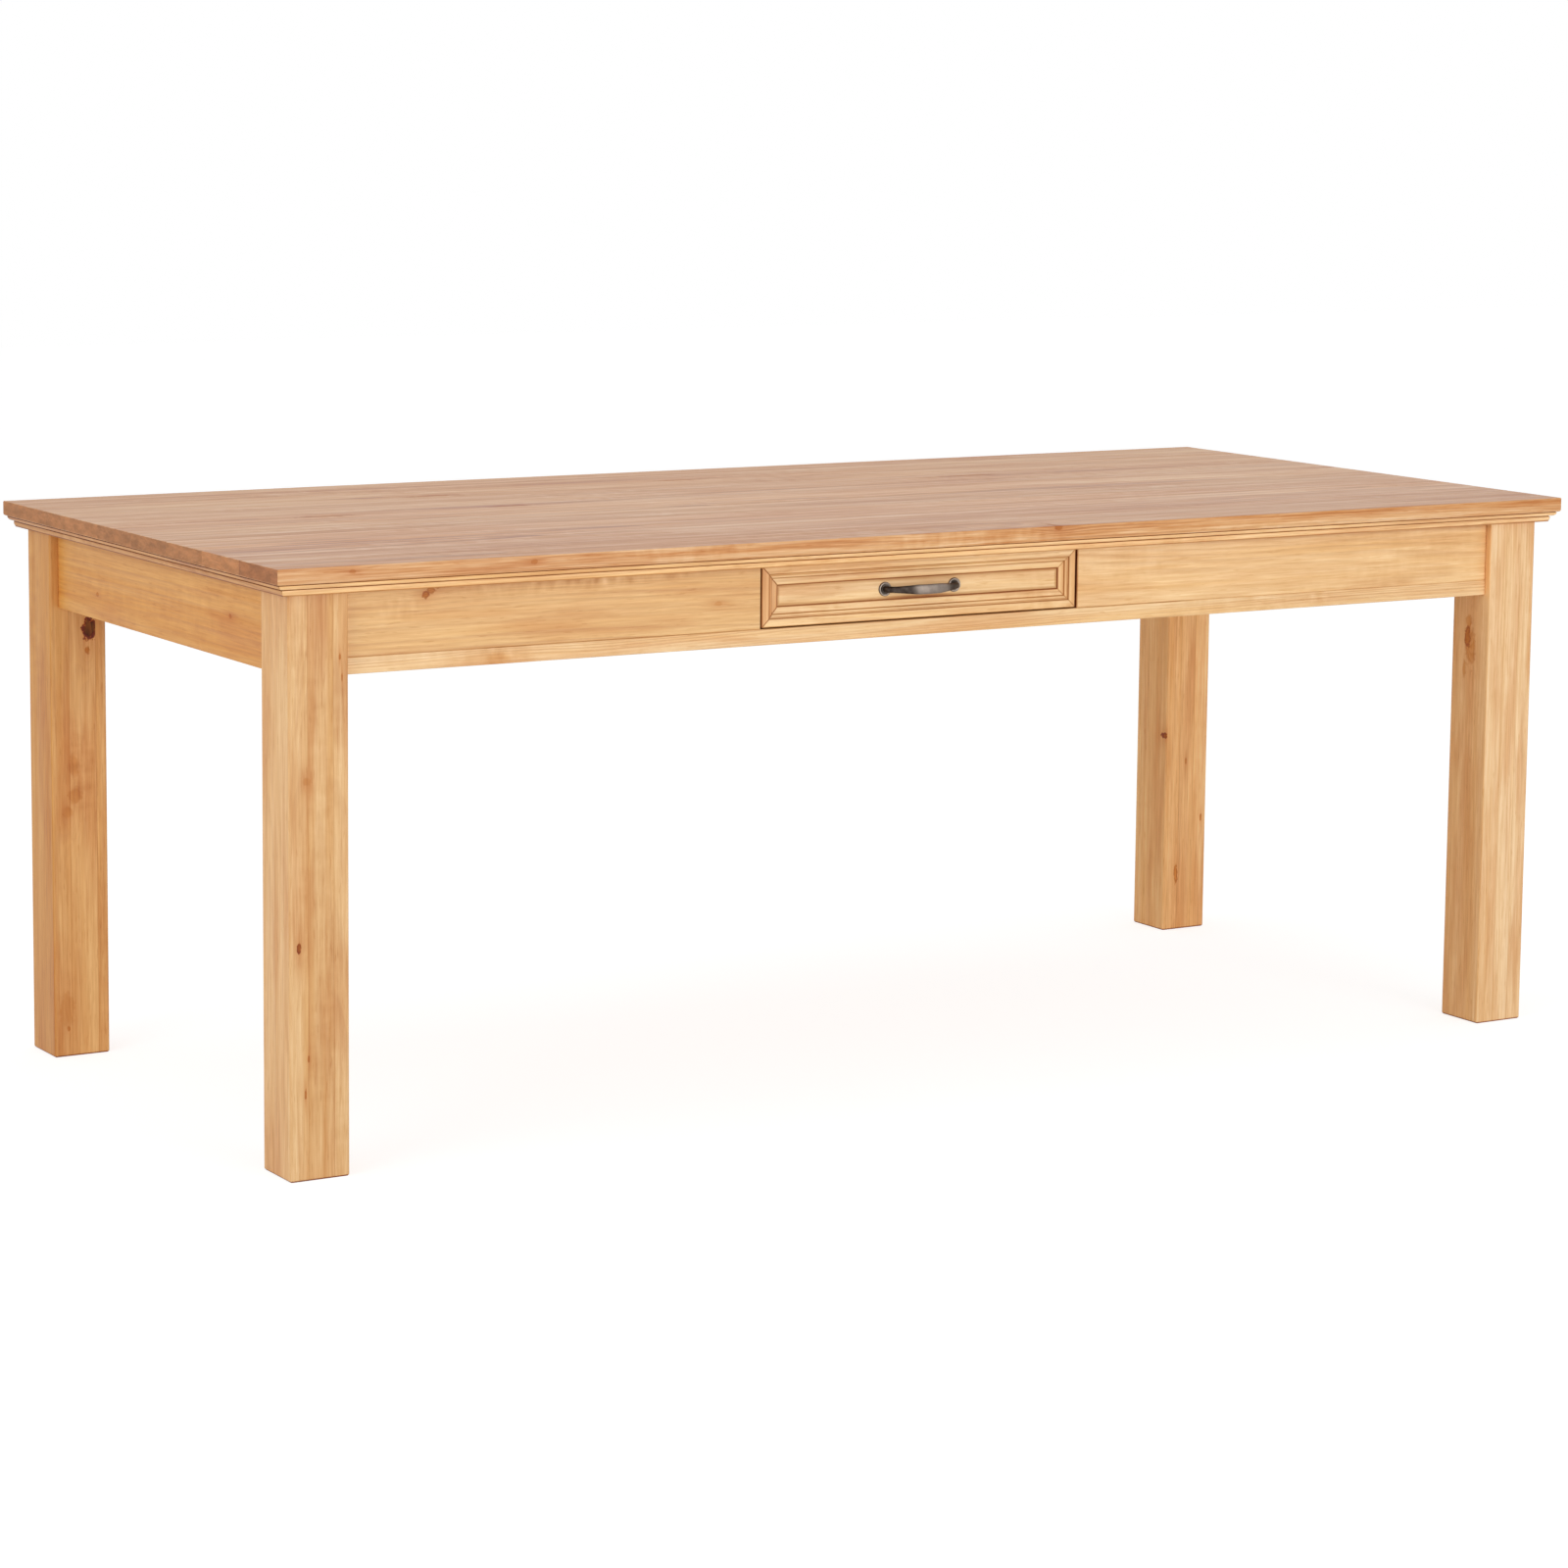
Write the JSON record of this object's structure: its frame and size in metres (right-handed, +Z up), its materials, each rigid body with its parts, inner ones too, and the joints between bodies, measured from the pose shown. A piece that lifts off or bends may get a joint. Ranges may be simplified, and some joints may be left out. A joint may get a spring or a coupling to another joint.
{
  "type": "dining table",
  "caption": "Solid pine rectangular dining table with square legs, a two-bead moulding under the top and one moulded drawer, a little left of the middle, with a bow handle.",
  "frame": {"origin": "on the floor, under the middle of the top", "axes": "+X along the table to the right as seen from the drawer side, -Y towards the drawer side, +Z up"},
  "size_m": [2, 0.9, 0.76],
  "materials": {
    "pine_top": "satin lacquered knotty pine, slightly pink on the flat",
    "pine_frame": "satin lacquered honey pine",
    "pine_drawer_box": "planed pale pine",
    "pewter_handle": "antique pewter, rubbed lighter on the grip",
    "zinc_plated_steel": "zinc plated"
  },
  "bodies": {
    "table": {"back_apron": "pine_frame", "bolt_nuts": "zinc_plated_steel", "bolt_washers": "zinc_plated_steel", "corner_block_back_left": "pine_frame", "corner_block_back_right": "pine_frame", "corner_block_front_left": "pine_frame", "corner_block_front_right": "pine_frame", "drawer_kicker_left": "pine_frame", "drawer_kicker_right": "pine_frame", "drawer_runner_left": "pine_frame", "drawer_runner_right": "pine_frame", "drawer_stops": "pine_frame", "edge_moulding_back": "pine_frame", "edge_moulding_front": "pine_frame", "edge_moulding_left": "pine_frame", "edge_moulding_right": "pine_frame", "front_apron_left": "pine_frame", "front_apron_right": "pine_frame", "front_lower_rail": "pine_frame", "front_upper_rail": "pine_frame", "hanger_bolts": "zinc_plated_steel", "left_apron": "pine_frame", "leg_back_left": "pine_frame", "leg_back_right": "pine_frame", "leg_front_left": "pine_frame", "leg_front_right": "pine_frame", "right_apron": "pine_frame", "top_batten_left": "pine_frame", "top_batten_right": "pine_frame", "top_board_1": "pine_top", "top_board_2": "pine_top", "top_board_3": "pine_top", "top_board_4": "pine_top", "top_board_5": "pine_top", "top_board_6": "pine_top", "top_board_7": "pine_top", "top_board_8": "pine_top", "top_brackets": "zinc_plated_steel"},
    "drawer": {"drawer_back": "pine_drawer_box", "drawer_bottom": "pine_drawer_box", "drawer_front_bottom_rail": "pine_frame", "drawer_front_left_stile": "pine_frame", "drawer_front_panel": "pine_frame", "drawer_front_right_stile": "pine_frame", "drawer_front_top_rail": "pine_frame", "drawer_side_left": "pine_drawer_box", "drawer_side_right": "pine_drawer_box", "bow_handle": "pewter_handle", "handle_rosettes": "pewter_handle", "handle_screws": "zinc_plated_steel"}
  },
  "joints": [
    {"name": "drawer_slide", "type": "slide", "parent": "table", "child": "drawer", "axis": [0, -1, 0], "range_m": [0, 0.35]}
  ]
}
